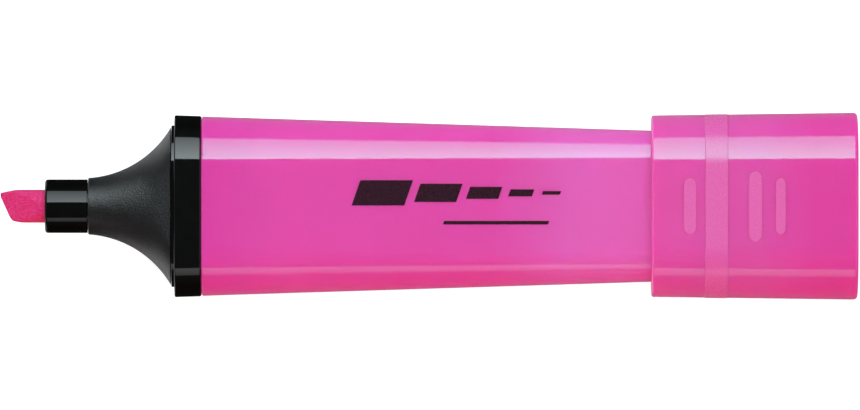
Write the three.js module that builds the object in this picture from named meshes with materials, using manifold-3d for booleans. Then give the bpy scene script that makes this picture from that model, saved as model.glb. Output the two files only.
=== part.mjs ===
// Capped text marker with a chisel nib, shown with its cap pushed on the tail.
// Millimetres. The pen's axis lies along X, nib at -X and cap at +X, broad faces up and down (Z).
// Most sections across the axis are stadiums: a flat middle with round ends.

import * as THREE from 'three';
import { mergeVertices } from 'three/addons/utils/BufferGeometryUtils.js';
import Module from 'manifold-3d';

const wasm = await Module();
wasm.setup();

// ---- driving dimensions ----

// places along the axis
const NIB_TIP = -61.2;
const HOLDER_FRONT = -54.8;
const GRIP_FRONT = -48.65;
const CORE_FRONT = -45.0;
const RING_FRONT = -36.75;
const COLLAR_FRONT = -36.3;
const COLLAR_REAR = -32.45;
const BARREL_FRONT = -32.4;
const HOLDER_REAR = -31.2;
const SKIRT_REAR = -24.5;
const CAP_MOUTH = 31.8;
const BARREL_TAIL = 40.0;
const CAP_END = 61.2;

// [half-width across Y, half-thickness across Z] of the stadium sections
const COLLAR = { front: [13.0, 7.25], rear: [12.88, 7.16] };
const RING = [11.53, 5.85];
const BARREL = { front: [12.82, 7.12], tail: [10.55, 4.17] };
const CAP = { mouth: [12.97, 7.35], end: [13.36, 7.6] };
const CAP_BORE = { mouth: [11.72, 6.1], end: [11.6, 6.0] };

// walls, edges and fits
const FIT = 0.1;
const WALL = 1.2;
const END_WALL = 1.4;
const COLLAR_WALL = 1.5;
const GRIP_WALL = 0.5;
const COLLAR_EDGE = 0.25;
const HOLDER_EDGE = 0.4;
const CAP_EDGE = { mouth: 0.3, end: 0.55 };
const TAIL_EDGE = 1.4;
const LEAD_IN = 0.4;

// flared grip: seen from above its outline is one arc, seen from the side a gentler curve
const FLARE = { radius: 14.66, centre: [-49.5, 18.68], smallEnd: 4.03, sideCurve: 1.5 };

// snap bead on the skirt, as [distance behind the collar, height] pairs
const BEAD = [[3.4, 0], [3.8, 0.3], [4.2, 0.3], [5.0, 0]];

// nib and its holder
const HOLDER = { radius: 3.82, plugRadius: 3.3, boreRadius: 2.72 };
const CRUSH_RIB = { count: 4, width: 0.7, reach: 2.4 };
const SOCKET = { wall: 1.0, rear: -31.5 };
const NIB = { radius: 2.35, rear: -23.0 };

// chisel: the writing edge slants across the nib, and two bevels rise from it
const CHISEL = {
  slant: THREE.MathUtils.degToRad(24.6),
  bevel: THREE.MathUtils.degToRad(23.3),
  edgeHalf: 0.43,
  corner: 1.39,
};

// ink reservoir and what keeps it in place inside the barrel
const RESERVOIR = { front: -31.0, rear: 22.0, section: [7.5, 3.3] };
const FILM = { gap: 0.05, thickness: 0.25 };
const RAIL = { width: 0.9, front: -22.0, rear: 38.0, across: 4.0, stopHeight: 2.4 };

// inside the cap
const POST_RIB = { width: 1.0, front: 35.0, rear: 44.0, across: 9.0, height: 3.95 };
const SLEEVE = { mouth: 45.0, radius: 5.2, boreRadius: 3.95, flange: [10.6, 5.2], floor: 1.0 };

// fineness of the curves, and how far a cutting body runs past the face that it opens
const ARC_STEPS = 14;
const ROUND_STEPS = 40;
const EDGE_STEPS = 4;
const FLARE_STEPS = 14;
const BEYOND = 2;
const FAR = 40;

// ---- from three.js geometry to solids and back ----

function solid(geometry) {
  const bare = geometry.clone();
  bare.deleteAttribute('normal');
  bare.deleteAttribute('uv');
  const merged = mergeVertices(bare);
  const triangles = [];
  for (let i = 0; i < merged.index.count; i += 3) {
    const [a, b, c] = merged.index.array.slice(i, i + 3);
    if (a !== b && b !== c && c !== a) triangles.push(a, b, c);
  }
  return new wasm.Manifold(new wasm.Mesh({
    numProp: 3,
    vertProperties: new Float32Array(merged.attributes.position.array),
    triVerts: new Uint32Array(triangles),
  }));
}

function geometryOf(body) {
  const mesh = body.getMesh();
  const geometry = new THREE.BufferGeometry();
  geometry.setAttribute('position', new THREE.BufferAttribute(mesh.vertProperties, 3));
  geometry.setIndex(new THREE.BufferAttribute(mesh.triVerts, 1));
  geometry.computeVertexNormals();
  return geometry;
}

function box([x0, x1], [y0, y1], [z0, z1]) {
  const geometry = new THREE.BoxGeometry(x1 - x0, y1 - y0, z1 - z0);
  geometry.translate((x0 + x1) / 2, (y0 + y1) / 2, (z0 + z1) / 2);
  return solid(geometry);
}

// A turned solid about the pen's axis, from [x, radius] pairs that run towards +X.
function turned(outline) {
  const profile = outline.map(([x, radius]) => new THREE.Vector2(radius, x));
  const start = new THREE.Vector2(0, profile[0].y);
  const end = new THREE.Vector2(0, profile.at(-1).y);
  const geometry = new THREE.LatheGeometry([start, ...profile, end], ROUND_STEPS);
  geometry.rotateZ(-Math.PI / 2);
  return solid(geometry);
}

function rod(x0, x1, radius) {
  return turned([[x0, radius], [x1, radius]]);
}

// ---- lofts through stadium sections ----

// The points of one section, anticlockwise seen from +X.
function stadium([x, halfWidth, halfThickness]) {
  const flat = Math.max(halfWidth - halfThickness, 0.01);
  const points = [];
  for (const side of [1, -1]) {
    for (let i = 0; i <= ARC_STEPS; i += 1) {
      const angle = Math.PI * (i / ARC_STEPS - side / 2);
      const y = side * flat + halfThickness * Math.cos(angle);
      points.push([x, y, halfThickness * Math.sin(angle)]);
    }
  }
  return points;
}

// A solid through stations [x, half-width, half-thickness] in order of x, flat at both ends.
function loft(stations) {
  const rings = stations.map(stadium);
  const count = rings[0].length;
  const index = [];
  for (let ring = 0; ring + 1 < rings.length; ring += 1) {
    for (let i = 0; i < count; i += 1) {
      const a = ring * count + i;
      const b = ring * count + ((i + 1) % count);
      index.push(a, b, b + count, a, b + count, a + count);
    }
  }
  const last = (rings.length - 1) * count;
  for (let i = 1; i + 1 < count; i += 1) {
    index.push(0, i + 1, i);
    index.push(last, last + i, last + i + 1);
  }
  const geometry = new THREE.BufferGeometry();
  geometry.setAttribute('position', new THREE.Float32BufferAttribute(rings.flat(2), 3));
  geometry.setIndex(index);
  return solid(geometry);
}

// The station at x on a straight taper from section a at xa to section b at xb, moved in by inset.
function stationOn([xa, a], [xb, b], x, inset = 0) {
  const share = (x - xa) / (xb - xa);
  return [x, a[0] + (b[0] - a[0]) * share - inset, a[1] + (b[1] - a[1]) * share - inset];
}

// Stations of a straight taper whose two end edges are rounded.
function roundedTaper(start, end, startEdge, endEdge) {
  const quarter = (i) => (Math.PI / 2) * (i / EDGE_STEPS);
  const stations = [];
  for (let i = EDGE_STEPS; i >= 0; i -= 1) {
    const x = start[0] + startEdge * (1 - Math.sin(quarter(i)));
    stations.push(stationOn(start, end, x, startEdge * (1 - Math.cos(quarter(i)))));
  }
  for (let i = 0; i <= EDGE_STEPS; i += 1) {
    const x = end[0] - endEdge * (1 - Math.sin(quarter(i)));
    stations.push(stationOn(start, end, x, endEdge * (1 - Math.cos(quarter(i)))));
  }
  return stations;
}

// The barrel's outer section at x, moved in by inset.
function barrelAt(x, inset = 0) {
  return stationOn([BARREL_FRONT, BARREL.front], [BARREL_TAIL, BARREL.tail], x, inset);
}

// The grip's outer section at x, moved in by an offset square to its outline.
function flareAt(x, offset = 0) {
  const [centreX, centreY] = FLARE.centre;
  const halfWidth = centreY - Math.sqrt((FLARE.radius + offset) ** 2 - (x - centreX) ** 2);
  const along = Math.max((x - GRIP_FRONT) / (RING_FRONT - GRIP_FRONT), 0);
  const rise = (RING[1] - FLARE.smallEnd) * along ** FLARE.sideCurve;
  return [x, halfWidth, Math.min(FLARE.smallEnd + rise - offset, halfWidth)];
}

function flareStations(from, to, offset) {
  const stations = [];
  for (let i = 0; i <= FLARE_STEPS; i += 1) {
    stations.push(flareAt(from + (to - from) * (i / FLARE_STEPS), offset));
  }
  return stations;
}

// ---- the pieces ----

// Rails inside the barrel hold the reservoir in the middle, and their steps stop it at the back.
function barrelRails() {
  const clear = FILM.gap + FILM.thickness + FIT;
  const half = RAIL.width / 2;
  const stop = [RESERVOIR.rear + FIT, RAIL.rear];
  const rails = [];
  for (const side of [-1, 1]) {
    for (const up of [-1, 1]) {
      const across = [side * RAIL.across - half, side * RAIL.across + half];
      const rail = box([RAIL.front, RAIL.rear], across, [RESERVOIR.section[1] + clear, FAR]);
      const step = box(stop, across, [RAIL.stopHeight, FAR]);
      rails.push(up > 0 ? rail.add(step) : rail.add(step).mirror([0, 0, 1]));
    }
    const sideRail = box([RAIL.front, RAIL.rear], [RESERVOIR.section[0] + clear, FAR], [-half, half]);
    rails.push(side > 0 ? sideRail : sideRail.mirror([0, 1, 0]));
  }
  const withinWall = loft([barrelAt(RAIL.front - BEYOND, WALL / 2), barrelAt(RAIL.rear, WALL / 2)]);
  return rails.reduce((all, rail) => all.add(rail)).intersect(withinWall);
}

function barrel() {
  const outside = roundedTaper(
    [BARREL_FRONT, BARREL.front],
    [BARREL_TAIL, BARREL.tail],
    COLLAR_EDGE,
    TAIL_EDGE,
  );
  const inside = [barrelAt(BARREL_FRONT - BEYOND, WALL), barrelAt(BARREL_TAIL - END_WALL, WALL)];
  const groove = BEAD.map(([behind, height]) => barrelAt(COLLAR_REAR + behind, WALL - height));
  return loft(outside).subtract(loft(inside)).subtract(loft(groove)).add(barrelRails());
}

// Collar, seating ring, conical core and skirt are one moulding with a socket through its middle.
function frontSection() {
  const skirtInset = WALL + FIT;
  const collar = loft(roundedTaper(
    [COLLAR_FRONT, COLLAR.front],
    [COLLAR_REAR, COLLAR.rear],
    COLLAR_EDGE,
    COLLAR_EDGE,
  ));
  const ring = loft([[RING_FRONT, ...RING], [COLLAR_FRONT + COLLAR_WALL, ...RING]]);
  const core = loft(flareStations(CORE_FRONT, RING_FRONT, GRIP_WALL + FIT));
  const coreRoot = loft([flareAt(RING_FRONT, GRIP_WALL + FIT), [RING_FRONT + FIT, ...RING]]);
  const skirt = loft([
    barrelAt(COLLAR_FRONT + COLLAR_WALL, skirtInset),
    barrelAt(SKIRT_REAR - LEAD_IN, skirtInset),
    barrelAt(SKIRT_REAR, skirtInset + LEAD_IN),
  ]);
  const bead = loft(BEAD.map(([behind, height]) => barrelAt(COLLAR_REAR + behind, skirtInset - height)));
  const hollow = loft([
    barrelAt(COLLAR_FRONT + COLLAR_WALL, skirtInset + WALL),
    barrelAt(SKIRT_REAR + BEYOND, skirtInset + WALL),
  ]);
  const bore = HOLDER.plugRadius + FIT;
  const socket = rod(COLLAR_FRONT + COLLAR_WALL / 2, SOCKET.rear, bore + SOCKET.wall);
  const outside = collar.add(ring).add(core).add(coreRoot).add(skirt).add(bead);
  return outside.subtract(hollow).add(socket).subtract(rod(CORE_FRONT - BEYOND, SOCKET.rear + BEYOND, bore));
}

function gripSleeve() {
  const rear = RING_FRONT - FIT;
  const outside = loft(flareStations(GRIP_FRONT, rear, 0));
  const overCore = loft(flareStations(CORE_FRONT - FIT, RING_FRONT, GRIP_WALL));
  return outside.subtract(overCore).subtract(rod(GRIP_FRONT - BEYOND, rear, HOLDER.plugRadius + FIT));
}

function nibHolder() {
  const front = [];
  for (let i = 0; i <= EDGE_STEPS; i += 1) {
    const angle = (Math.PI / 2) * (i / EDGE_STEPS);
    const x = HOLDER_FRONT + HOLDER_EDGE * (1 - Math.cos(angle));
    front.push([x, HOLDER.radius - HOLDER_EDGE * (1 - Math.sin(angle))]);
  }
  const shoulder = GRIP_FRONT - FIT;
  const outside = turned([
    ...front,
    [shoulder, HOLDER.radius],
    [shoulder, HOLDER.plugRadius],
    [HOLDER_REAR, HOLDER.plugRadius],
  ]);
  const tube = outside.subtract(rod(HOLDER_FRONT - BEYOND, HOLDER_REAR + BEYOND, HOLDER.boreRadius));
  return tube.add(crushRibs());
}

// Ribs along the bore grip the nib, and air reaches the reservoir between them.
function crushRibs() {
  const middle = (CRUSH_RIB.reach + HOLDER.plugRadius) / 2;
  const length = HOLDER_REAR - HOLDER_FRONT - 2 * BEYOND;
  const depth = HOLDER.plugRadius - CRUSH_RIB.reach;
  const ribs = [];
  for (let i = 0; i < CRUSH_RIB.count; i += 1) {
    const geometry = new THREE.BoxGeometry(length, CRUSH_RIB.width, depth);
    geometry.translate((HOLDER_FRONT + HOLDER_REAR) / 2, 0, middle);
    geometry.rotateX((2 * Math.PI * (i + 0.5)) / CRUSH_RIB.count);
    ribs.push(solid(geometry));
  }
  const withinTube = rod(HOLDER_FRONT, HOLDER_REAR, (HOLDER.boreRadius + HOLDER.plugRadius) / 2);
  return ribs.reduce((all, rib) => all.add(rib)).intersect(withinTube);
}

// A cutting block whose flat face passes through the origin, with the block on its -X side.
function cutter() {
  const geometry = new THREE.BoxGeometry(FAR, FAR, FAR);
  geometry.translate(-FAR / 2, 0, 0);
  return geometry;
}

function nib() {
  const felt = rod(NIB_TIP, NIB.rear, NIB.radius);
  const edge = cutter();
  edge.rotateZ(CHISEL.slant);
  edge.translate(NIB_TIP, CHISEL.corner, 0);
  let shape = felt.subtract(solid(edge));
  for (const side of [-1, 1]) {
    const bevel = cutter();
    bevel.rotateY(side * (Math.PI / 2 - CHISEL.bevel));
    bevel.translate(0, 0, side * CHISEL.edgeHalf);
    bevel.rotateZ(CHISEL.slant);
    bevel.translate(NIB_TIP, CHISEL.corner, 0);
    shape = shape.subtract(solid(bevel));
  }
  return shape;
}

function inkReservoir() {
  const fibre = loft([[RESERVOIR.front, ...RESERVOIR.section], [RESERVOIR.rear, ...RESERVOIR.section]]);
  return fibre.subtract(rod(RESERVOIR.front - BEYOND, NIB.rear + FIT, NIB.radius + FIT));
}

function reservoirFilm() {
  const around = (x, gap) => [x, ...RESERVOIR.section.map((half) => half + gap)];
  const outer = FILM.gap + FILM.thickness;
  const skin = loft([around(RESERVOIR.front, outer), around(RESERVOIR.rear, outer)]);
  const core = [around(RESERVOIR.front - BEYOND, FILM.gap), around(RESERVOIR.rear + BEYOND, FILM.gap)];
  return skin.subtract(loft(core));
}

// Four ribs in the cap's corners grip the barrel's tail when the cap is posted.
function postRibs() {
  const half = POST_RIB.width / 2;
  const across = [POST_RIB.across - half, POST_RIB.across + half];
  const rib = box([POST_RIB.front, POST_RIB.rear], across, [POST_RIB.height, FAR]);
  const pair = rib.add(rib.mirror([0, 1, 0]));
  const mouth = stationOn([CAP_MOUTH, CAP.mouth], [CAP_END, CAP.end], CAP_MOUTH, WALL / 2);
  const end = stationOn([CAP_MOUTH, CAP.mouth], [CAP_END, CAP.end], CAP_END, WALL / 2);
  return pair.add(pair.mirror([0, 0, 1])).intersect(loft([mouth, end]));
}

function capShell() {
  const outside = roundedTaper([CAP_MOUTH, CAP.mouth], [CAP_END, CAP.end], CAP_EDGE.mouth, CAP_EDGE.end);
  const floor = CAP_END - END_WALL;
  const bore = (x, inset) => stationOn([CAP_MOUTH, CAP_BORE.mouth], [floor, CAP_BORE.end], x, inset);
  const inside = [bore(CAP_MOUTH - LEAD_IN, -LEAD_IN), bore(CAP_MOUTH + LEAD_IN, 0), bore(floor, 0)];
  return loft(outside).subtract(loft(inside)).add(postRibs());
}

// A cup on a flange: its bore seals on the nib holder when the cap is on the front.
function capInnerSleeve() {
  const back = CAP_END - END_WALL - FIT / 2;
  const floor = back - SLEEVE.floor;
  const flange = loft([[floor, ...SLEEVE.flange], [back, ...SLEEVE.flange]]);
  const tube = rod(SLEEVE.mouth, back, SLEEVE.radius);
  const bore = turned([
    [SLEEVE.mouth - LEAD_IN, SLEEVE.boreRadius + 2 * LEAD_IN],
    [SLEEVE.mouth + LEAD_IN, SLEEVE.boreRadius],
    [floor, SLEEVE.boreRadius],
  ]);
  return tube.add(flange).subtract(bore);
}

// ---- assembly ----

const FINISHES = {
  barrelPink: { color: 0xde4aa6, roughness: 0.18, metalness: 0 },
  capPink: { color: 0xdf50a4, roughness: 0.2, metalness: 0 },
  glossBlack: { color: 0x0d0f0e, roughness: 0.15, metalness: 0 },
  mattBlack: { color: 0x2a2b2b, roughness: 0.75, metalness: 0 },
  felt: { color: 0xe1327d, roughness: 0.9, metalness: 0 },
  fibre: { color: 0xe8488f, roughness: 0.95, metalness: 0 },
  film: { color: 0xf0f0f0, roughness: 0.3, metalness: 0 },
  innerWhite: { color: 0xe9e7e2, roughness: 0.5, metalness: 0 },
};

function piece(name, body, finish) {
  const mesh = new THREE.Mesh(geometryOf(body), new THREE.MeshStandardMaterial(FINISHES[finish]));
  mesh.name = name;
  return mesh;
}

const marker = new THREE.Group();
marker.add(
  piece('barrel', barrel(), 'barrelPink'),
  piece('front_section', frontSection(), 'glossBlack'),
  piece('grip_sleeve', gripSleeve(), 'mattBlack'),
  piece('nib_holder', nibHolder(), 'glossBlack'),
  piece('nib', nib(), 'felt'),
  piece('ink_reservoir', inkReservoir(), 'fibre'),
  piece('reservoir_film', reservoirFilm(), 'film'),
  piece('cap_shell', capShell(), 'capPink'),
  piece('cap_inner_sleeve', capInnerSleeve(), 'innerWhite'),
);

// the pen lies on its lower broad face
marker.position.z = CAP.end[1];

export default marker;
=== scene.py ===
import math

import bmesh
import bpy
import numpy as np
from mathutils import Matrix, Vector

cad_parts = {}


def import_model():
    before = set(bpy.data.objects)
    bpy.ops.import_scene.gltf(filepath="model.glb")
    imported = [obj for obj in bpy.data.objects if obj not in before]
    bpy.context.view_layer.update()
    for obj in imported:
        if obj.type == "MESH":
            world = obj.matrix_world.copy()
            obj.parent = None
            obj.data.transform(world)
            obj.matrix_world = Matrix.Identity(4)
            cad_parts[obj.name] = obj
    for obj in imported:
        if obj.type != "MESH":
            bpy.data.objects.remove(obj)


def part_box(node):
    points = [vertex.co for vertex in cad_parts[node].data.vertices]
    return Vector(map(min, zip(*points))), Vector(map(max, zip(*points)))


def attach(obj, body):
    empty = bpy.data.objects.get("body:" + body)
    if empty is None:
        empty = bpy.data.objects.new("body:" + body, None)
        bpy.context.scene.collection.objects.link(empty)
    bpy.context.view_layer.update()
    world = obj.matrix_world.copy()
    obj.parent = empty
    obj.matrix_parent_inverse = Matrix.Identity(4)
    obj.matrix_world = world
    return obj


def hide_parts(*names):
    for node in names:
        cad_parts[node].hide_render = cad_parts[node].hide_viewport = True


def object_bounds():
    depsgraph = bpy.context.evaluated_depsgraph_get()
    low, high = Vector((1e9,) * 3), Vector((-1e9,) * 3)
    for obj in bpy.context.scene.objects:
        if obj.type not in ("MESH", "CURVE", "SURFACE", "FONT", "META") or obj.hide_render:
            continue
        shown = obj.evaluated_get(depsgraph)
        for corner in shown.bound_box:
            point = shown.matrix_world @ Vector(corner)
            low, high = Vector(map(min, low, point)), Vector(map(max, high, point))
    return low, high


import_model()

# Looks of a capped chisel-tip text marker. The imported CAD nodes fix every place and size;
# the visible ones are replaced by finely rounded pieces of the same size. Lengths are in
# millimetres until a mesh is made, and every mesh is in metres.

cad_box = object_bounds()

MM = 0.001


def box_mm(node):
    lo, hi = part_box(node)
    return lo / MM, hi / MM


def half_section(node):
    """Half the width (Y) and half the thickness (Z) of a node, in millimetres."""
    lo, hi = box_mm(node)
    return (hi.y - lo.y) / 2, (hi.z - lo.z) / 2


# ---- places and sizes that the frame gives ----

BARREL_FRONT = box_mm("barrel")[0].x
BARREL_TAIL = box_mm("barrel")[1].x
BARREL_W, BARREL_T = half_section("barrel")
CAP_MOUTH = box_mm("cap_shell")[0].x
CAP_END = box_mm("cap_shell")[1].x
CAP_W, CAP_T = half_section("cap_shell")
COLLAR_W, COLLAR_T = half_section("front_section")
CORE_FRONT = box_mm("front_section")[0].x
SKIRT_REAR = box_mm("front_section")[1].x
GRIP_FRONT = box_mm("grip_sleeve")[0].x
GRIP_REAR = box_mm("grip_sleeve")[1].x
HOLDER_FRONT = box_mm("nib_holder")[0].x
HOLDER_REAR = box_mm("nib_holder")[1].x
HOLDER_R = half_section("nib_holder")[0]
NIB_TIP = box_mm("nib")[0].x
NIB_REAR = box_mm("nib")[1].x
NIB_R = half_section("nib")[1]
SLEEVE_MOUTH = box_mm("cap_inner_sleeve")[0].x
SLEEVE_REAR = box_mm("cap_inner_sleeve")[1].x
FLANGE_W, FLANGE_T = half_section("cap_inner_sleeve")
AXIS_Z = (box_mm("cap_shell")[0].z + box_mm("cap_shell")[1].z) / 2

# ---- sizes that the boxes do not show, the same as in the CAD model ----

WALL = 1.2
END_WALL = 1.4
FIT = 0.1
COLLAR_FRONT = GRIP_REAR + 0.55
COLLAR_REAR = BARREL_FRONT - 0.05
COLLAR_REAR_SECTION = (COLLAR_W - 0.12, COLLAR_T - 0.09)
RING_SECTION = (11.53, 5.85)
BARREL_TAIL_SECTION = (10.55, 4.17)
CAP_MOUTH_SECTION = (CAP_W - 0.39, CAP_T - 0.25)
CAP_BORE_MOUTH = (11.72, 6.1)
CAP_BORE_END = (11.6, 6.0)
FLARE_R = 14.66
FLARE_CENTRE = (-49.5, 18.68)
FLARE_SMALL = 4.03
CROWN_RUN = 4.3
GRIP_WALL = 0.5
PLUG_R = 3.3
HOLDER_BORE = 2.72
CRUSH_RIB_REACH = 2.4
SLEEVE_R = 5.2
SLEEVE_BORE = 3.95

# fineness of the meshes
ARC = 40       # segments in each round end of a stadium
FLAT = 10      # segments along each flat
ROUND = 128    # segments round a tube
EDGE = 6       # segments in a small rounded edge


# ---- mesh building ----

def stadium(x, half_width, half_thickness):
    """The points of one stadium section at x, anticlockwise seen from +X."""
    flat = max(half_width - half_thickness, 0.01)
    points = []
    for side in (1, -1):
        for i in range(ARC + 1):
            angle = math.pi * (i / ARC - side / 2)
            across, up = half_thickness * math.cos(angle), half_thickness * math.sin(angle)
            points.append((x, side * flat + across, up))
        for i in range(1, FLAT):
            points.append((x, side * flat * (1 - 2 * i / FLAT), side * half_thickness))
    return points


def circle(x, radius, count=ROUND):
    turn = 2 * math.pi / count
    return [(x, radius * math.cos(i * turn), radius * math.sin(i * turn)) for i in range(count)]


def new_object(name, vertices, faces, material, sharp=35):
    """A smooth mesh object; vertices are in millimetres about the pen's axis."""
    mesh = bpy.data.meshes.new(name)
    mesh.from_pydata([(x * MM, y * MM, (z + AXIS_Z) * MM) for x, y, z in vertices], [], faces)
    obj = bpy.data.objects.new(name, mesh)
    bpy.context.collection.objects.link(obj)
    mesh.materials.append(material)
    bm = bmesh.new()
    bm.from_mesh(mesh)
    bmesh.ops.remove_doubles(bm, verts=bm.verts, dist=0.5e-6)
    bmesh.ops.dissolve_degenerate(bm, edges=bm.edges, dist=1e-7)
    bmesh.ops.recalc_face_normals(bm, faces=bm.faces)
    for face in bm.faces:
        face.smooth = True
    for edge in bm.edges:
        if edge.is_manifold and edge.calc_face_angle(0) > math.radians(sharp):
            edge.smooth = False
    bm.to_mesh(mesh)
    bm.free()
    return obj


def weighted(obj):
    """Keeps the big flat faces flat where they meet small rounded edges."""
    modifier = obj.modifiers.new("flat_faces", "WEIGHTED_NORMAL")
    modifier.keep_sharp = True
    modifier.weight = 80
    return obj


def skin(rings, closed=False, front_cap=False, rear_cap=False):
    """Vertices and faces of the surface through rings that all have the same number of points."""
    count = len(rings[0])
    vertices = [p for ring in rings for p in ring]
    faces = []
    for r in range(len(rings) if closed else len(rings) - 1):
        a, b = r * count, (r + 1) % len(rings) * count
        for i in range(count):
            j = (i + 1) % count
            faces.append((a + i, a + j, b + j, b + i))
    if front_cap:
        faces.append(tuple(range(count))[::-1])
    if rear_cap:
        faces.append(tuple((len(rings) - 1) * count + i for i in range(count)))
    return vertices, faces


def quarter(steps=EDGE):
    return [math.pi / 2 * i / steps for i in range(steps + 1)]


def blend(a, b, share):
    return tuple(p + (q - p) * share for p, q in zip(a, b))


class Taper:
    """A straight taper between two stadium sections; at(x, inset) is its station there."""

    def __init__(self, start, start_section, end, end_section):
        self.start, self.end = start, end
        self.sections = start_section, end_section

    def at(self, x, inset=0.0):
        share = (x - self.start) / (self.end - self.start)
        w, t = blend(*self.sections, share)
        return (x, w - inset, t - inset)

    def front_edge(self, radius):
        return [self.at(self.start + radius * (1 - math.sin(a)), radius * (1 - math.cos(a)))
                for a in reversed(quarter())]

    def rear_edge(self, radius):
        return [self.at(self.end - radius * (1 - math.sin(a)), radius * (1 - math.cos(a)))
                for a in quarter()]

    def between(self, x0, x1, steps, inset=0.0):
        return [self.at(x0 + (x1 - x0) * i / steps, inset) for i in range(steps + 1)]


BARREL_OUT = Taper(BARREL_FRONT, (BARREL_W, BARREL_T), BARREL_TAIL, BARREL_TAIL_SECTION)
CAP_OUT = Taper(CAP_MOUTH, CAP_MOUTH_SECTION, CAP_END, (CAP_W, CAP_T))
COLLAR_OUT = Taper(COLLAR_FRONT, (COLLAR_W, COLLAR_T), COLLAR_REAR, COLLAR_REAR_SECTION)


def stadium_rings(stations):
    return [stadium(*station) for station in stations]


# ---- procedural materials ----

def shader(name, colour, roughness, **sockets):
    """A Principled material, its node tree and its shader node."""
    material = bpy.data.materials.new(name)
    material.use_nodes = True
    tree = material.node_tree
    bsdf = tree.nodes["Principled BSDF"]
    bsdf.inputs["Base Color"].default_value = (*colour, 1)
    bsdf.inputs["Roughness"].default_value = roughness
    for key, value in sockets.items():
        bsdf.inputs[key.replace("_", " ")].default_value = value
    material.diffuse_color = (*colour, 1)
    return material, tree, bsdf


def place(tree, stretch=(1, 1, 1)):
    """Object coordinates in millimetres, stretched along an axis by making its factor small."""
    coord = tree.nodes.new("ShaderNodeTexCoord")
    mapping = tree.nodes.new("ShaderNodeMapping")
    mapping.inputs["Scale"].default_value = [s / MM for s in stretch]
    tree.links.new(coord.outputs["Object"], mapping.inputs["Vector"])
    return mapping.outputs["Vector"]


def noise(tree, vector, scale, detail=3.0, roughness=0.55):
    node = tree.nodes.new("ShaderNodeTexNoise")
    node.inputs["Scale"].default_value = scale
    node.inputs["Detail"].default_value = detail
    node.inputs["Roughness"].default_value = roughness
    tree.links.new(vector, node.inputs["Vector"])
    return node.outputs["Fac"]


def ramp(tree, value, low, high, start=0.3, end=0.7):
    """Maps a noise value to a range of numbers."""
    node = tree.nodes.new("ShaderNodeMapRange")
    node.inputs["From Min"].default_value = start
    node.inputs["From Max"].default_value = end
    node.inputs["To Min"].default_value = low
    node.inputs["To Max"].default_value = high
    tree.links.new(value, node.inputs["Value"])
    return node.outputs["Result"]


def mixed(tree, factor, colour_a, colour_b):
    node = tree.nodes.new("ShaderNodeMix")
    node.data_type = "RGBA"
    node.inputs["A"].default_value = (*colour_a, 1)
    node.inputs["B"].default_value = (*colour_b, 1)
    tree.links.new(factor, node.inputs["Factor"])
    return node.outputs["Result"]


def bump(tree, bsdf, height, distance, strength=1.0, under=None):
    """Adds a bump of the given height in millimetres, on top of an earlier bump."""
    node = tree.nodes.new("ShaderNodeBump")
    node.inputs["Strength"].default_value = strength
    node.inputs["Distance"].default_value = distance * MM
    tree.links.new(height, node.inputs["Height"])
    if under is not None:
        tree.links.new(under, node.inputs["Normal"])
    tree.links.new(node.outputs["Normal"], bsdf.inputs["Normal"])
    return node.outputs["Normal"]


def scaled(colour, factor):
    return tuple(c * factor for c in colour)


# The pink at the front of a piece, and each later pink as (first x, last x of the change to it,
# colour). It is deeper at the barrel's front and lighter towards its tail and at the cap's mouth;
# the lighter tail is partly painted light, raised to make up for the shade of the posted cap.
BARREL_PINKS = (
    (0.265, 0.036, 0.216),
    (-32, -22, (0.265, 0.048, 0.232)),
    # Lighter tail pink, partly painted light against the posted cap's shade.
    (9, 20, (0.265, 0.08, 0.285)),
)
CAP_PINKS = (
    (0.25, 0.056, 0.229),
    (47, 55, (0.26, 0.038, 0.205)),
)
FROST_PINKS = (
    (0.24, 0.062, 0.225),
    (47, 55, (0.24, 0.056, 0.215)),
)
# Painted glow: a steady pink emission that keeps the plastic's red up in its shade.
PAINTED_PINK_GLOW = (0.31, 0.0, 0.045, 1)
GLOSS_TINT = (0.2, 1.0, 0.85, 1)
COOL_TINT = (0.97, 0.96, 1.0, 1)


def along_pen(tree, pinks):
    """A colour that changes along the pen."""
    split = tree.nodes.new("ShaderNodeSeparateXYZ")
    tree.links.new(place(tree), split.inputs["Vector"])
    first, (x0, x1, second), *rest = pinks
    colour = mixed(tree, ramp(tree, split.outputs["X"], 0, 1, x0, x1), first, second)
    for x0, x1, after in rest:
        step = ramp(tree, split.outputs["X"], 0, 1, x0, x1)
        following = mixed(tree, step, after, after)
        tree.links.new(colour, following.node.inputs["A"])
        colour = following
    return colour


def varied(tree, colour, value, low, high):
    """A colour made darker and lighter by a noise value."""
    node = tree.nodes.new("ShaderNodeHueSaturation")
    tree.links.new(colour, node.inputs["Color"])
    tree.links.new(ramp(tree, value, low, high), node.inputs["Value"])
    return node.outputs["Color"]


def pink_with_painted_glow(name, pinks, roughness, **sockets):
    """Pink plastic that red light travels through, with a painted pink glow: a steady emission that
    keeps its red up where shade falls.
    """
    material, tree, bsdf = shader(
        name, pinks[-1][2], roughness, Subsurface_Weight=1.0, Subsurface_Scale=0.006,
        Subsurface_Radius=(1.0, 0.15, 0.4), Emission_Color=PAINTED_PINK_GLOW, Emission_Strength=1.0,
        Sheen_Weight=0.16, Sheen_Roughness=0.4, Sheen_Tint=GLOSS_TINT, **sockets)
    return material, tree, bsdf, along_pen(tree, pinks)


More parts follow.
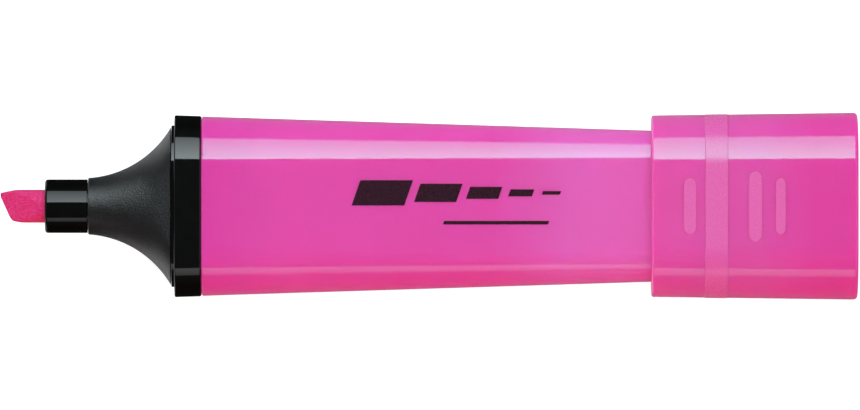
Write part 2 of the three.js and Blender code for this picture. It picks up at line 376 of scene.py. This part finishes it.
def moulded_pink(name, pinks):
    material, tree, bsdf, colour = pink_with_painted_glow(
        name, pinks, 0.06, IOR=1.5, Specular_IOR_Level=0.7, Specular_Tint=GLOSS_TINT)
    where = place(tree)
    cloud = noise(tree, where, 0.09, 2)
    tree.links.new(varied(tree, colour, cloud, 0.97, 1.03), bsdf.inputs["Base Color"])
    handled = noise(tree, place(tree, (0.4, 1, 1)), 0.6, 6, 0.65)
    tree.links.new(ramp(tree, handled, 0.04, 0.1), bsdf.inputs["Roughness"])
    sink = bump(tree, bsdf, noise(tree, where, 0.12, 1), 0.012)
    bump(tree, bsdf, noise(tree, place(tree, (0.12, 2.2, 2.2)), 5, 2), 0.0004, 0.6, sink)
    return material


def frosted_pink():
    material, tree, bsdf, colour = pink_with_painted_glow(
        "frosted_pink", FROST_PINKS, 0.25, IOR=1.5, Specular_IOR_Level=0.6, Specular_Tint=GLOSS_TINT)
    bsdf.inputs["Subsurface Weight"].default_value = 0.25
    grain = noise(tree, place(tree), 7, 3, 0.7)
    tree.links.new(varied(tree, colour, grain, 0.93, 1.07), bsdf.inputs["Base Color"])
    tree.links.new(ramp(tree, grain, 0.2, 0.3), bsdf.inputs["Roughness"])
    bump(tree, bsdf, grain, 0.007, 0.7)
    return material


def gloss_black(name, level):
    base = (0.0011, 0.0013, 0.0012)
    material, tree, bsdf = shader(
        name, base, 0.06, IOR=1.5, Specular_IOR_Level=level, Specular_Tint=COOL_TINT)
    where = place(tree)
    cloud = noise(tree, where, 0.5, 4)
    tree.links.new(mixed(tree, ramp(tree, cloud, 0, 1), scaled(base, 0.8), scaled(base, 1.3)),
                   bsdf.inputs["Base Color"])
    tree.links.new(ramp(tree, noise(tree, where, 1.4, 5, 0.7), 0.045, 0.1), bsdf.inputs["Roughness"])
    flow = bump(tree, bsdf, noise(tree, place(tree, (0.3, 1, 1)), 0.5, 2), 0.006)
    bump(tree, bsdf, noise(tree, where, 9, 2), 0.0006, 0.5, flow)
    return material


def matt_black():
    base = (0.0038, 0.0041, 0.0043)
    material, tree, bsdf = shader(
        "matt_black", base, 0.35, IOR=1.5, Specular_IOR_Level=0.47, Specular_Tint=COOL_TINT,
        Sheen_Weight=0.12, Sheen_Roughness=0.3, Sheen_Tint=(0.7, 0.95, 1.0, 1))
    where = place(tree)
    grain = noise(tree, where, 4.5, 3, 0.65)
    tree.links.new(mixed(tree, ramp(tree, grain, 0, 1), scaled(base, 0.6), scaled(base, 1.6)),
                   bsdf.inputs["Base Color"])
    tree.links.new(ramp(tree, noise(tree, where, 0.8, 4), 0.32, 0.38), bsdf.inputs["Roughness"])
    bump(tree, bsdf, grain, 0.075, 0.9)
    return material


def felt_pink():
    base = (0.27, 0.004, 0.083)
    # The red emission is a painted glow that keeps the felt's red up in its shade.
    material, tree, bsdf = shader(
        "felt_pink", base, 0.5, Specular_IOR_Level=0.35, Specular_Tint=(0.3, 0.75, 1.0, 1),
        Emission_Color=(0.23, 0.0, 0.0, 1), Emission_Strength=1.0)
    fibres = noise(tree, place(tree, (0.8, 1.6, 1.6)), 3.6, 4, 0.75)
    blotch = noise(tree, place(tree), 1.1, 3)
    soaked = mixed(tree, ramp(tree, blotch, 0, 1), (0.25, 0.001, 0.05), (0.3, 0.006, 0.11))
    fibre = mixed(tree, ramp(tree, fibres, 0, 1, 0.45, 0.7), base, (0.36, 0.05, 0.19))
    tree.links.new(soaked, fibre.node.inputs["A"])
    tree.links.new(fibre, bsdf.inputs["Base Color"])
    tree.links.new(ramp(tree, fibres, 0.42, 0.65), bsdf.inputs["Roughness"])
    bump(tree, bsdf, fibres, 0.12, 1.0)
    return material


def print_ink():
    base = (0.015, 0.004, 0.009)
    material, tree, bsdf = shader("print_ink", base, 0.15, Specular_IOR_Level=0.4)
    speckle = noise(tree, place(tree), 6, 3)
    tree.links.new(mixed(tree, ramp(tree, speckle, 0, 1), scaled(base, 0.6), scaled(base, 1.5)),
                   bsdf.inputs["Base Color"])
    bump(tree, bsdf, speckle, 0.002, 0.5)
    return material


def inner_white():
    base = (0.78, 0.77, 0.73)
    material, tree, bsdf = shader(
        "inner_white", base, 0.4, Subsurface_Weight=0.2, Subsurface_Scale=0.002)
    cloud = noise(tree, place(tree), 0.6, 4)
    tree.links.new(mixed(tree, ramp(tree, cloud, 0, 1), scaled(base, 0.94), base),
                   bsdf.inputs["Base Color"])
    tree.links.new(ramp(tree, cloud, 0.35, 0.5), bsdf.inputs["Roughness"])
    bump(tree, bsdf, noise(tree, place(tree), 3, 3), 0.004, 0.5)
    return material


def soaked_fibre():
    base = (0.78, 0.06, 0.28)
    material, tree, bsdf = shader("soaked_fibre", base, 0.9)
    strands = noise(tree, place(tree, (0.1, 4, 4)), 2, 5, 0.7)
    tree.links.new(mixed(tree, ramp(tree, strands, 0, 1), scaled(base, 0.6), scaled(base, 1.15)),
                   bsdf.inputs["Base Color"])
    bump(tree, bsdf, strands, 0.08)
    return material


def clear_film():
    base = (0.9, 0.9, 0.92)
    material, tree, bsdf = shader("clear_film", base, 0.15, Alpha=0.35)
    creases = noise(tree, place(tree, (0.4, 1, 1)), 0.8, 5, 0.7)
    tree.links.new(mixed(tree, ramp(tree, creases, 0, 1), scaled(base, 0.9), base),
                   bsdf.inputs["Base Color"])
    tree.links.new(ramp(tree, creases, 0.1, 0.3), bsdf.inputs["Roughness"])
    bump(tree, bsdf, creases, 0.05)
    return material


def pale_floor():
    base = (0.3, 0.3, 0.3)
    material, tree, bsdf = shader("pale_floor", base, 0.7)
    cloud = noise(tree, place(tree), 0.02, 3)
    tree.links.new(mixed(tree, ramp(tree, cloud, 0, 1), scaled(base, 0.99), base),
                   bsdf.inputs["Base Color"])
    bsdf.inputs["Emission Color"].default_value = (1, 1, 1, 1)
    bsdf.inputs["Emission Strength"].default_value = 0.85
    return material


M_BARREL = moulded_pink("barrel_pink", BARREL_PINKS)
M_CAP = moulded_pink("cap_pink", CAP_PINKS)
M_FROST = frosted_pink()
M_GLOSS = gloss_black("moulding_black", 0.455)
M_HOLDER = gloss_black("holder_black", 0.3)
M_MATT = matt_black()
M_FELT = felt_pink()
M_INK = print_ink()
M_WHITE = inner_white()


# ---- barrel ----

def barrel_piece():
    out, edge, tail = BARREL_OUT, 0.25, 1.4
    floor = BARREL_TAIL - END_WALL
    stations = (
        [(BARREL_FRONT, *out.at(BARREL_FRONT, WALL)[1:])]
        + out.front_edge(edge)
        + out.between(BARREL_FRONT + 2, BARREL_TAIL - tail - 1, 24)
        + out.rear_edge(tail)
    )
    outer = stadium_rings(stations)
    inner = stadium_rings(out.between(BARREL_FRONT + 0.3, floor, 12, WALL))
    vertices, faces = skin(inner[::-1] + outer)
    count = len(outer[0])
    faces.append(tuple(range(count)))
    rear = (len(inner) + len(outer) - 1) * count
    faces.append(tuple(rear + i for i in range(count))[::-1])
    piece = weighted(new_object("barrel_body", vertices, faces, M_BARREL))
    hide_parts("barrel")
    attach(piece, "pen")


# ---- black front end ----

def flare(x, offset=0.0):
    """The grip's section at x, moved in by an offset square to its outline."""
    half_width = FLARE_CENTRE[1] - math.sqrt((FLARE_R + offset) ** 2 - (x - FLARE_CENTRE[0]) ** 2)
    share = max((x - GRIP_FRONT) / (GRIP_REAR + FIT - GRIP_FRONT), 0)
    half_thickness = FLARE_SMALL + (RING_SECTION[1] - FLARE_SMALL) * share ** 1.5 - offset
    return (x, half_width, min(half_thickness, half_width))


def flare_run(x0, x1, steps, offset=0.0):
    return [flare(x0 + (x1 - x0) * i / steps, offset) for i in range(steps + 1)]


def crowned_rings(stations):
    """Sections of the flare: nearly oval at the front, and stadiums where it meets the ring."""
    rings = []
    for x, half_width, half_thickness in stations:
        crown = min(max((GRIP_REAR - x) / CROWN_RUN, 0), 1)
        crown *= 0.75 * crown * (3 - 2 * crown)
        ring = []
        for _, y, z in stadium(x, half_width, half_thickness):
            oval = math.copysign(half_thickness * math.sqrt(max(1 - (y / half_width) ** 2, 0)), z)
            ring.append((x, y, z + (oval - z) * crown))
        rings.append(ring)
    return rings


def front_moulding():
    skirt = WALL + FIT
    ring_front = GRIP_REAR + FIT
    inner_front = COLLAR_FRONT + 1.5
    lip = 0.06
    outside = (
        flare_run(CORE_FRONT, ring_front, 12, GRIP_WALL + FIT)
        + [(ring_front, RING_SECTION[0] - lip, RING_SECTION[1] - lip)]
        + [(ring_front + lip, *RING_SECTION), (COLLAR_FRONT, *RING_SECTION)]
        + COLLAR_OUT.front_edge(0.22)
        + COLLAR_OUT.between(COLLAR_FRONT + 0.6, COLLAR_REAR - 0.6, 4)
        + COLLAR_OUT.rear_edge(0.3)
        + [BARREL_OUT.at(COLLAR_REAR, skirt)]
        + BARREL_OUT.between(COLLAR_REAR + 0.5, SKIRT_REAR - 0.4, 6, skirt)
        + [BARREL_OUT.at(SKIRT_REAR, skirt + 0.4)]
    )
    socket = PLUG_R + FIT
    inside = (
        [BARREL_OUT.at(SKIRT_REAR, skirt + WALL), BARREL_OUT.at(inner_front, skirt + WALL)]
        + [(inner_front, socket + 1, socket + 1), (inner_front + 3.3, socket + 1, socket + 1)]
        + [(inner_front + 3.3, socket, socket), (CORE_FRONT, socket, socket)]
    )
    vertices, faces = skin(crowned_rings(outside + inside), closed=True)
    piece = weighted(new_object("front_moulding", vertices, faces, M_GLOSS))
    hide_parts("front_section")
    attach(piece, "pen")


def grip_piece():
    edge, lip = 0.1, 0.04
    bore = PLUG_R + FIT
    outside = (
        [(GRIP_FRONT, flare(GRIP_FRONT)[1] - edge, flare(GRIP_FRONT)[2] - edge)]
        + flare_run(GRIP_FRONT + edge, GRIP_REAR - lip, 60)
        + [(GRIP_REAR, flare(GRIP_REAR)[1] - lip, flare(GRIP_REAR)[2] - lip)]
    )
    inside = (
        flare_run(GRIP_REAR, CORE_FRONT - FIT, 16, GRIP_WALL)
        + [(CORE_FRONT - FIT, bore, bore), (GRIP_FRONT, bore, bore)]
    )
    vertices, faces = skin(crowned_rings(outside + inside), closed=True)
    piece = new_object("grip_flare", vertices, faces, M_MATT)
    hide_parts("grip_sleeve")
    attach(piece, "pen")


def ribbed_circle(x, radius, reach, ribs=4, rib_half=0.35):
    """A bore's section with ribs that stand in to the reach radius."""
    points = []
    for _, y, z in circle(x, radius):
        angle = math.atan2(z, y)
        step = 2 * math.pi / ribs
        off = (angle - step / 2) % step
        off = min(off, step - off) * radius
        depth = 1 - min(max((off - rib_half) / 0.15, 0), 1)
        r = radius - (radius - reach) * depth
        points.append((x, r * math.cos(angle), r * math.sin(angle)))
    return points


def holder_piece():
    edge = 0.4
    shoulder = GRIP_FRONT - FIT
    rings = [circle(HOLDER_FRONT, HOLDER_BORE + 0.2)]
    rings += [circle(HOLDER_FRONT + edge * (1 - math.sin(a)), HOLDER_R - edge * (1 - math.cos(a)))
              for a in reversed(quarter(8))]
    rings += [circle(HOLDER_FRONT + 1, HOLDER_R), circle(shoulder - 0.05, HOLDER_R)]
    rings += [circle(shoulder, HOLDER_R - 0.05), circle(shoulder, PLUG_R)]
    rings += [circle(HOLDER_REAR - 0.2, PLUG_R), circle(HOLDER_REAR, PLUG_R - 0.2)]
    rings += [ribbed_circle(x, HOLDER_BORE, CRUSH_RIB_REACH) for x in (HOLDER_REAR, HOLDER_FRONT + 0.5)]
    rings += [ribbed_circle(HOLDER_FRONT + 0.2, HOLDER_BORE, HOLDER_BORE - 0.02)]
    vertices, faces = skin(rings, closed=True)
    piece = weighted(new_object("holder_tube", vertices, faces, M_HOLDER))
    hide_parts("nib_holder")
    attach(piece, "pen")


# ---- nib ----

SLANT = math.radians(24.6)
BEVEL = math.radians(23.3)
EDGE_HALF = 0.43
CORNER_Y = 1.39

# Flat cuts seen from above: (distance behind the tip, y) of a point on each, and the direction
# in degrees that it faces. The slanted writing edge comes first; the others blunt its corners.
NIB_CUTS = (
    ((0, CORNER_Y), 204.6),
    ((0.03, CORNER_Y), 180),
    ((0.03, 1.9), 101.8),
    ((1.49, -1.78), 221),
    ((1.7, -2.07), 257),
)


def smooth_max(values, radius):
    """Highest of several distances, with the creases between them rounded."""
    values = np.array(values)
    top = values.max(axis=0)
    return top + radius * np.log(np.exp((values - top) / radius).sum(axis=0))


def nib_distance(p):
    """How far points p (N x 3) lie outside the chisel; below zero is inside the felt."""
    x, y, z = p.T
    behind = x - NIB_TIP
    rod = np.hypot(y, z) - NIB_R
    inward = behind * math.cos(SLANT) + (y - CORNER_Y) * math.sin(SLANT)
    bevel = (np.abs(z) - EDGE_HALF) * math.cos(BEVEL) - inward * math.sin(BEVEL)
    cuts = []
    for (cut_x, cut_y), facing in NIB_CUTS:
        angle = math.radians(facing)
        cuts.append((behind - cut_x) * math.cos(angle) + (y - cut_y) * math.sin(angle))
    return smooth_max([rod, bevel, *cuts], 0.04)


def nib_piece():
    """Felt chisel: rays from the nib's axis, each run out to the rounded chisel's surface."""
    centre_x = NIB_TIP + 3.4
    around = 160
    turn = np.linspace(0, 2 * np.pi, around, endpoint=False)
    side = np.stack([np.zeros(around), np.cos(turn), np.sin(turn)], axis=1)
    starts, rays = [], []
    for x in np.concatenate([[NIB_REAR], np.linspace(HOLDER_FRONT + 1.0, centre_x, 90)]):
        starts.append(np.tile([x, 0, 0], (around, 1)))
        rays.append(side)
    for tilt in np.linspace(0, np.pi / 2, 110)[1:]:
        starts.append(np.tile([centre_x, 0, 0], (around, 1)))
        rays.append(side * math.cos(tilt) + np.array([-math.sin(tilt), 0, 0]))
    starts, rays = np.concatenate(starts), np.concatenate(rays)
    low, high = np.zeros(len(rays)), np.full(len(rays), 8.0)
    for _ in range(32):
        middle = (low + high) / 2
        outside = nib_distance(starts + rays * middle[:, None]) > 0
        high = np.where(outside, middle, high)
        low = np.where(outside, low, middle)
    points = starts + rays * low[:, None]
    points = points.reshape(-1, around, 3)
    rings = [[tuple(map(float, p)) for p in ring] for ring in points]
    vertices, faces = skin(rings, front_cap=True)
    piece = new_object("felt_nib", vertices, faces, M_FELT, sharp=80)
    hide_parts("nib")
    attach(piece, "pen")


# ---- cap ----

def cap_piece():
    out = CAP_OUT
    floor = CAP_END - END_WALL
    bore = Taper(CAP_MOUTH, CAP_BORE_MOUTH, floor, CAP_BORE_END)
    lead = 0.3
    outer = stadium_rings(
        out.front_edge(0.3) + out.between(CAP_MOUTH + 1, CAP_END - 1.2, 20) + out.rear_edge(0.55))
    inner = stadium_rings([bore.at(CAP_MOUTH, -lead), bore.at(CAP_MOUTH + lead)]
                          + bore.between(CAP_MOUTH + 1, floor - 0.4, 8) + bore.rear_edge(0.4))
    vertices, faces = skin(inner[::-1] + outer)
    count = len(outer[0])
    faces.append(tuple(range(count)))
    rear = (len(inner) + len(outer) - 1) * count
    faces.append(tuple(rear + i for i in range(count))[::-1])
    piece = weighted(new_object("cap_body", vertices, faces, M_CAP))
    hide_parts("cap_shell")
    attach(piece, "cap")


def section_point(taper, x, s, height=0.0):
    """A point on a taper's skin: s is the distance from the middle of the upper face, round
    towards +Y when positive; height is how far it stands off the skin."""
    _, w, t = taper.at(x)
    flat = w - t
    side = 1 if s >= 0 else -1
    s = abs(s)
    if s <= flat:
        return (x, side * s, t + height)
    angle = (s - flat) / t
    r = t + height
    return (x, side * (flat + r * math.sin(angle)), r * math.cos(angle))


def half_girth(taper, x):
    _, w, t = taper.at(x)
    return (w - t) + t * math.pi / 2


RELIEF = 0.05
RELIEF_ROOT = -0.06
RELIEF_EDGE = 0.07


def relief_slab(name, rows, flip):
    """A thin raised slab on the cap. Each row is (s, x_low, x_high) along the girth; its long
    edges are chamfered and its ends are closed."""
    across = [(0.0, RELIEF_ROOT), (0.0, 0.0), (RELIEF_EDGE, RELIEF)]
    rings = []
    for s, x0, x1 in rows:
        lows = [(x0 + dx, h) for dx, h in across]
        middle = [(x0 + (x1 - x0) * k / 8, RELIEF) for k in range(1, 8)]
        highs = [(x1 - dx, h) for dx, h in reversed(across)]
        ring = [section_point(CAP_OUT, x, s, h) for x, h in lows + middle + highs]
        rings.append([(x, y, -z if flip else z) for x, y, z in ring])
    vertices, faces = skin(rings, front_cap=True, rear_cap=True)
    piece = new_object(name, vertices, faces, M_FROST)
    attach(piece, "cap")
    return piece


# Frosted grip bars across the cap: (middle, width, half-length). The first runs right round.
GRIP_BARS = ((41.0, 3.25, None), (37.2, 1.8, 4.0), (46.5, 1.9, 5.0), (50.1, 1.45, 4.0))


def spaced(start, end, steps):
    return [start + (end - start) * i / steps for i in range(steps + 1)]


def bar_rows(x, width, half_length):
    """Rows of one bar, with round ends unless it runs from side to side."""
    if half_length is None:
        reach = half_girth(CAP_OUT, x - width / 2) - 0.01
        return [(s, x - width / 2, x + width / 2) for s in spaced(-reach, reach, 160)]
    radius = width / 2
    straight = half_length - radius
    rows = []
    for angle in spaced(-math.pi / 2 + 0.15, 0, 12):
        half = radius * math.cos(angle)
        rows.append((-straight + radius * math.sin(angle), x - half, x + half))
    rows += [(s, x - radius, x + radius) for s in spaced(-straight, straight, 30)[1:-1]]
    return rows + [(-s, x0, x1) for s, x0, x1 in reversed(rows[:13])]


def cap_relief():
    for face, flip in (("upper", False), ("lower", True)):
        for i, bar in enumerate(GRIP_BARS, 1):
            relief_slab(f"cap_grip_{i}_{face}", bar_rows(*bar), flip)


def cap_ribs():
    """Four ribs in the cap's corners that grip the barrel's tail."""
    front, rear, across, low, high, half, edge = 35.0, 44.0, 9.0, 3.95, 5.7, 0.5, 0.15
    stations = ((front, low + 0.8), (front + 0.8, low), (rear - 0.2, low), (rear, low + 0.2))
    for i, (side, up) in enumerate(((1, 1), (-1, 1), (-1, -1), (1, -1)), 1):
        rings = []
        for x, z in stations:
            left = [(-half, high), (-half, z + edge), (edge - half, z)]
            ring = left + [(-dy, height) for dy, height in reversed(left)]
            rings.append([(x, side * (across + dy), up * height) for dy, height in ring])
        vertices, faces = skin(rings, front_cap=True, rear_cap=True)
        piece = new_object(f"cap_rib_{i}", vertices, faces, M_CAP)
        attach(piece, "cap")


def sleeve_piece():
    floor = SLEEVE_REAR - 1.0
    rings = [circle(SLEEVE_MOUTH, SLEEVE_BORE + 0.35), circle(SLEEVE_MOUTH, SLEEVE_R - 0.2)]
    rings += [circle(SLEEVE_MOUTH + 0.2, SLEEVE_R), circle(floor - 0.3, SLEEVE_R)]
    rings += [circle(floor, SLEEVE_R + 0.3)]
    vertices, faces = skin([circle(floor, SLEEVE_BORE - 0.3), circle(floor - 0.3, SLEEVE_BORE),
                            circle(SLEEVE_MOUTH + 0.5, SLEEVE_BORE)] + rings)
    faces.append(tuple(range(ROUND)))
    last = len(vertices) - ROUND
    faces.append(tuple(last + i for i in range(ROUND))[::-1])
    tube = new_object("sleeve_tube", vertices, faces, M_WHITE)
    flange = Taper(floor, (FLANGE_W, FLANGE_T), SLEEVE_REAR, (FLANGE_W, FLANGE_T))
    vertices, faces = skin(stadium_rings(flange.front_edge(0.2) + flange.rear_edge(0.1)),
                           front_cap=True, rear_cap=True)
    plate = weighted(new_object("sleeve_flange", vertices, faces, M_WHITE))
    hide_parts("cap_inner_sleeve")
    for piece in (tube, plate):
        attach(piece, "cap")


# ---- printed mark ----

def print_bar(name, x0, x1, y0, y1, lean=0.35):
    """One printed bar on the barrel's upper face, its ends leaning like a chisel stroke."""
    def top(x):
        return BARREL_OUT.at(x)[2]
    shift = (y1 - y0) * lean
    corners = [(x0, y0), (x1, y0), (x1 + shift, y1), (x0 + shift, y1)]
    low = [(x, y, top(x) - 0.02) for x, y in corners]
    high = [(x, y, top(x) + 0.006) for x, y in corners]
    vertices, faces = skin([low, high], front_cap=True, rear_cap=True)
    piece = new_object(name, vertices, faces, M_INK)
    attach(piece, "pen")


def printed_mark():
    """A plain line-width scale: leaning strokes from broad to fine over a thin rule."""
    x = -11.0
    for i, (length, width) in enumerate(((7.5, 3.6), (6.0, 2.6), (4.6, 1.7), (3.4, 1.0), (2.6, 0.5)), 1):
        print_bar(f"print_stroke_{i}", x, x + length, 1.9 - width / 2, 1.9 + width / 2)
        x += length + 1.4
    print_bar("print_rule", 2.0, 17.0, -2.6, -2.1)


# ---- CAD nodes that stay, hidden inside the barrel ----

def dress_cad():
    for node, material in (("ink_reservoir", soaked_fibre()), ("reservoir_film", clear_film())):
        obj = bpy.data.objects[node]
        obj.data.materials.clear()
        obj.data.materials.append(material)


# ---- floor, lights and camera ----

def floor():
    size = 3.0
    mesh = bpy.data.meshes.new("floor")
    corners = [(-size, -size, 0), (size, -size, 0), (size, size, 0), (-size, size, 0)]
    mesh.from_pydata(corners, [], [(0, 1, 2, 3)])
    mesh.materials.append(pale_floor())
    obj = bpy.data.objects.new("floor", mesh)
    obj.location.z = cad_box[0].z - 0.00002
    obj.visible_glossy = False
    bpy.context.collection.objects.link(obj)


def softbox(name, low, high, radiance_low, radiance_high, colour=(1, 1, 1), soft=True, gloss=True):
    """A long light beside the pen that covers the angles low to high, in degrees from straight
    above and positive towards +Y. Its radiance runs evenly from the low edge to the high edge.
    It can be left out of the soft light or of the gloss."""
    length, distance = 0.44, 0.5
    middle, half = math.radians((low + high) / 2), math.radians((high - low) / 2)
    width = 2 * distance * math.sin(half)
    reach = distance * math.cos(half)
    light = bpy.data.lights.new(name, "AREA")
    light.color = colour
    light.shape = "RECTANGLE"
    light.size, light.size_y = length, width
    light.energy = math.pi * length * width
    light.use_nodes = True
    tree = light.node_tree
    geometry = tree.nodes.new("ShaderNodeNewGeometry")
    split = tree.nodes.new("ShaderNodeSeparateXYZ")
    tree.links.new(geometry.outputs["Parametric"], split.inputs["Vector"])
    fade = ramp(tree, split.outputs["Y"], radiance_low, radiance_high, 0, 1)
    tree.links.new(fade, tree.nodes["Emission"].inputs["Strength"])
    obj = bpy.data.objects.new(name, light)
    obj.location = (0, reach * math.sin(middle), reach * math.cos(middle))
    obj.rotation_euler = (-middle, 0, 0)
    obj.visible_camera = False
    obj.visible_diffuse = soft
    obj.visible_glossy = gloss
    bpy.context.collection.objects.link(obj)


# Pale surroundings that the gloss sees past the pen's ends: the direction's X and Z, each from
# where a wall starts to show to where it is full, and its strength. The first lies low by the nib.
PALE_WALLS = (
    (-0.2, -0.6, -0.1, -0.35, 1.2),
    (-0.6, -0.9, 0, 0.2, 0.3),
    (0.45, 0.8, 0, 0.2, 0.5),
)


def world():
    """A dim even room that is darker still in the gloss below the horizon, and pale behind the pen."""
    scene_world = bpy.data.worlds.new("studio")
    bpy.context.scene.world = scene_world
    scene_world.use_nodes = True
    tree = scene_world.node_tree
    background = tree.nodes["Background"]
    background.inputs["Color"].default_value = (1, 1, 1, 1)
    coord = tree.nodes.new("ShaderNodeTexCoord")
    split = tree.nodes.new("ShaderNodeSeparateXYZ")
    tree.links.new(coord.outputs["Generated"], split.inputs["Vector"])
    path = tree.nodes.new("ShaderNodeLightPath")
    soft, backdrop = 0.5, 0.95
    room = ramp(tree, split.outputs["Z"], 0.012, 0.07, -0.2, 0.3)
    gloss = room
    for x0, x1, z0, z1, strength in PALE_WALLS:
        towards = ramp(tree, split.outputs["X"], 0, strength, x0, x1)
        level = ramp(tree, split.outputs["Z"], 0, 1, z0, z1)
        wall = tree.nodes.new("ShaderNodeMath")
        wall.operation = "MULTIPLY_ADD"
        tree.links.new(towards, wall.inputs[0])
        tree.links.new(level, wall.inputs[1])
        tree.links.new(gloss, wall.inputs[2])
        gloss = wall.outputs["Value"]
    in_gloss = tree.nodes.new("ShaderNodeMix")
    in_gloss.inputs["A"].default_value = soft
    tree.links.new(gloss, in_gloss.inputs["B"])
    tree.links.new(path.outputs["Is Glossy Ray"], in_gloss.inputs["Factor"])
    strength = tree.nodes.new("ShaderNodeMix")
    strength.inputs["B"].default_value = backdrop
    tree.links.new(in_gloss.outputs["Result"], strength.inputs["A"])
    tree.links.new(path.outputs["Is Camera Ray"], strength.inputs["Factor"])
    tree.links.new(strength.outputs["Result"], background.inputs["Strength"])


def camera():
    """Straight down on the broad face through a very long lens."""
    frame_width = 0.12286
    lens = 600
    data = bpy.data.cameras.new("camera")
    data.lens = lens
    data.sensor_width = 36
    obj = bpy.data.objects.new("camera", data)
    centre = (cad_box[0] + cad_box[1]) / 2
    distance = lens / data.sensor_width * frame_width
    data.clip_end = distance * 3
    obj.location = (centre.x + 0.00017, centre.y + 0.00017, centre.z + distance)
    bpy.context.collection.objects.link(obj)
    bpy.context.scene.camera = obj


camera()
world()
floor()
softbox("main_softbox", 16.6, 68, 7.2, 2.8, colour=(0.88, 1.0, 1.0))
softbox("overhead", -13, 13, 4.5, 4.5, gloss=False)
softbox("weak_strip", -69, -51, 0.8, 1.5, soft=False)
softbox("warm_fill", -89, -70, 9.5, 9.5, colour=(1.0, 0.1, 0.0), gloss=False)
bpy.context.scene.view_settings.view_transform = "Standard"

barrel_piece()
front_moulding()
grip_piece()
holder_piece()
nib_piece()
cap_piece()
cap_relief()
cap_ribs()
sleeve_piece()
printed_mark()
dress_cad()

bpy.context.view_layer.update()
